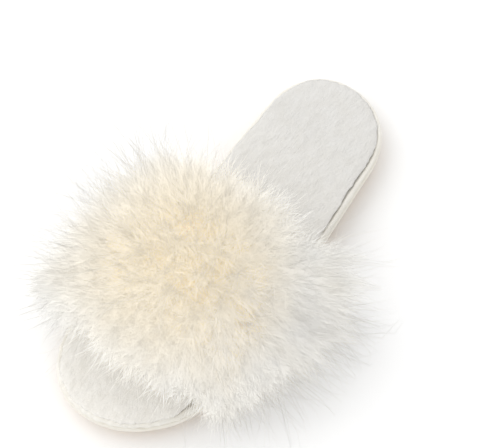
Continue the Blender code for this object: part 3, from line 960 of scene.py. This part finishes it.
def build_wisps(surface):
    """Single long barbs that stand out past the plumes."""
    chance = np.random.default_rng(PLUME_SEED + 1)
    roots = plume_roots(surface, chance)
    weight = np.array(
        [1.0 + side - WISP_FEWER_AT_ENDS * min(1.0, abs(lean.x)) for _, _, lean, side, _ in roots]
    )
    picked = chance.choice(len(roots), WISP_COUNT, p=weight / weight.sum())
    t = np.linspace(0, 1, len(WISP_TAPER))
    spines = []
    for k in picked:
        place, out, lean, side, corner = roots[k]
        way = (out + lean * WISP_LEAN + chance_vector(chance, WISP_WAY_CHANCE)).normalized()
        forward = min(1.0, max(0.0, lean.x) / TOE_LEAN)
        length = WISP_LENGTH * (1 - CORNER_WISP_CUT * corner - WISP_TOE_CUT * forward)
        length *= chance.uniform(*WISP_LENGTHS)
        curl = chance.normal(size=3) * WISP_CURL_CHANCE
        curl[2] -= WISP_SAG + WISP_SIDE_SAG * side
        bent = np.array(way) * t[:, None] + curl * (t**2)[:, None] / 2
        spines.append(np.array(place) + length * bent)
    spines = kept_in_bounds(np.array(spines))
    reach = np.tile(0.3 + 0.7 * t, (WISP_COUNT, 1))
    radii = np.tile(np.array(WISP_TAPER) * WISP_RADIUS, (WISP_COUNT, 1))
    strand_piece("feather_wisps", spines, radii, reach, WISP, chance)


def build_tufts(surface):
    """Tufts of barbs that cling together to a point, on the outer side."""
    chance = np.random.default_rng(PLUME_SEED + 2)
    t = np.linspace(0, 1, len(TUFT_TAPER))
    fan, sideways, upwards = TUFT_WAY
    spines = []
    for _ in range(TUFT_COUNT):
        x = chance.uniform(*TUFT_X) * MM
        place, out = surface(x, math.radians(chance.uniform(*TUFT_TURN)))
        forward = (x - TUFT_MIDDLE_X) / TUFT_FAN
        way = Vector((forward * fan, sideways, upwards)) + out * TUFT_WAY_OUT
        way += chance_vector(chance, TUFT_WAY_CHANCE)
        tip = place + way.normalized() * TUFT_LENGTH * chance.uniform(*TUFT_LENGTHS)
        sag = np.array([0, 0, chance.uniform(*TUFT_SAG) * MM])
        for _ in range(BARBS_PER_TUFT):
            start = np.array(place) + chance.normal(size=3) * TUFT_ROOT_SPREAD * MM
            end = np.array(tip) + chance.normal(size=3) * TUFT_TIP_SPREAD * MM
            bow = sag + chance.normal(size=3) * TUFT_BOW_SPREAD * MM
            straight = start + (end - start) * t[:, None]
            spines.append(straight + 4 * bow * (t * (1 - t))[:, None] - sag * t[:, None])
    spines = kept_in_bounds(np.array(spines))
    radii = np.tile(np.array(TUFT_TAPER) * TUFT_RADIUS, (len(spines), 1))
    reach = np.tile(0.4 + 0.6 * t, (len(spines), 1))
    strand_piece("feather_tufts", spines, radii, reach, TUFT, chance)


def build_down(surface):
    """Thick soft down on the band, under the plumes, coloured darker as painted shade."""
    bm = bmesh.new()
    bmesh.ops.create_grid(bm, x_segments=DOWN_COLUMNS, y_segments=DOWN_ROWS, size=0.5)
    for vertex in bm.verts:
        u, v = vertex.co.y + 0.5, vertex.co.x + 0.5
        x = PLUME_FROM_X + DOWN_INSET + u * (PLUME_TO_X - PLUME_FROM_X - 2 * DOWN_INSET)
        place, out = surface(x, DOWN_FIRST_TURN + v * DOWN_TURN)
        edge = min(u, 1 - u, v, 1 - v) / DOWN_ROUND_EDGE
        full = math.sqrt(1 - (1 - min(1.0, edge)) ** 2)
        uneven = 1 + lumps(place, 70, DOWN_LUMPS) + lumps(place, 180, DOWN_FINE_LUMPS)
        vertex.co = place + out * (DOWN_LIFT + DOWN_THICKNESS * full * uneven)
    bmesh.ops.recalc_face_normals(bm, faces=bm.faces)
    piece = piece_from(bm, "down_bed", DOWN_PAINTED_SHADE)
    thick = piece.modifiers.new("down_wall", "SOLIDIFY")
    thick.thickness = DOWN_WALL
    thick.offset = -1.0
    settle(piece, "feather_trim")


# Studio


def build_studio():
    """Pale floor, even sky and softboxes."""
    finish, tree, shader, place = new_finish("pale_floor", Roughness=0.9, Specular_IOR_Level=0.1)
    light, dark = (0.93, 0.93, 0.93, 1), (0.92, 0.92, 0.92, 1)
    tone = effect(tree, "soft_patches", Place=place, Size=3.0, Light=light, Dark=dark)
    coloured(tree, shader, tone["Colour"])
    bm = bmesh.new()
    bmesh.ops.create_grid(bm, x_segments=1, y_segments=1, size=FLOOR_HALF_WIDTH)
    piece_from(bm, "floor", finish)

    world = bpy.data.worlds.new("studio_air")
    world.use_nodes = True
    sky = world.node_tree.nodes["Background"].inputs
    sky["Color"].default_value = (1.0, 1.0, 1.0, 1)
    sky["Strength"].default_value = SKY_STRENGTH
    bpy.context.scene.world = world

    for name, place, size, power in SOFTBOXES:
        light = bpy.data.lights.new(name, "AREA")
        light.size = size
        light.energy = power
        lamp = placed(name, light)
        lamp.location = place
        lamp.rotation_euler = (SOFTBOX_AIM - Vector(place)).to_track_quat("-Z", "Y").to_euler()
    bpy.context.scene.view_settings.view_transform = "Standard"


def build_camera():
    """Camera that looks down on the slipper from the side of the photo."""
    toe_sin, toe_cos = math.sin(CAMERA_LEAN_TOE), math.cos(CAMERA_LEAN_TOE)
    out_sin, out_cos = math.sin(CAMERA_LEAN_OUT), math.cos(CAMERA_LEAN_OUT)
    back = Vector((toe_sin, out_sin * toe_cos, out_cos * toe_cos)).normalized()
    level_right = Vector((-1, 0, 0)).cross(back).normalized()
    level_up = back.cross(level_right)
    cos_roll, sin_roll = math.cos(CAMERA_ROLL), math.sin(CAMERA_ROLL)
    right = level_right * cos_roll + level_up * sin_roll
    up = level_up * cos_roll - level_right * sin_roll
    data = bpy.data.cameras.new("photo_camera")
    data.lens = CAMERA_LENS
    data.sensor_width = SENSOR_WIDTH
    camera = placed("photo_camera", data)
    turn = Matrix((right, up, back)).transposed().to_4x4()
    camera.matrix_world = Matrix.Translation(CAMERA_AIM + back * CAMERA_DISTANCE) @ turn
    bpy.context.scene.camera = camera


build_camera()
build_studio()
build_outsole()
build_footbed()
build_edge_roll()
build_insole()
build_band()
outside = band_surface()
build_down(outside)
build_plumes(outside)
build_wisps(outside)
build_tufts(outside)
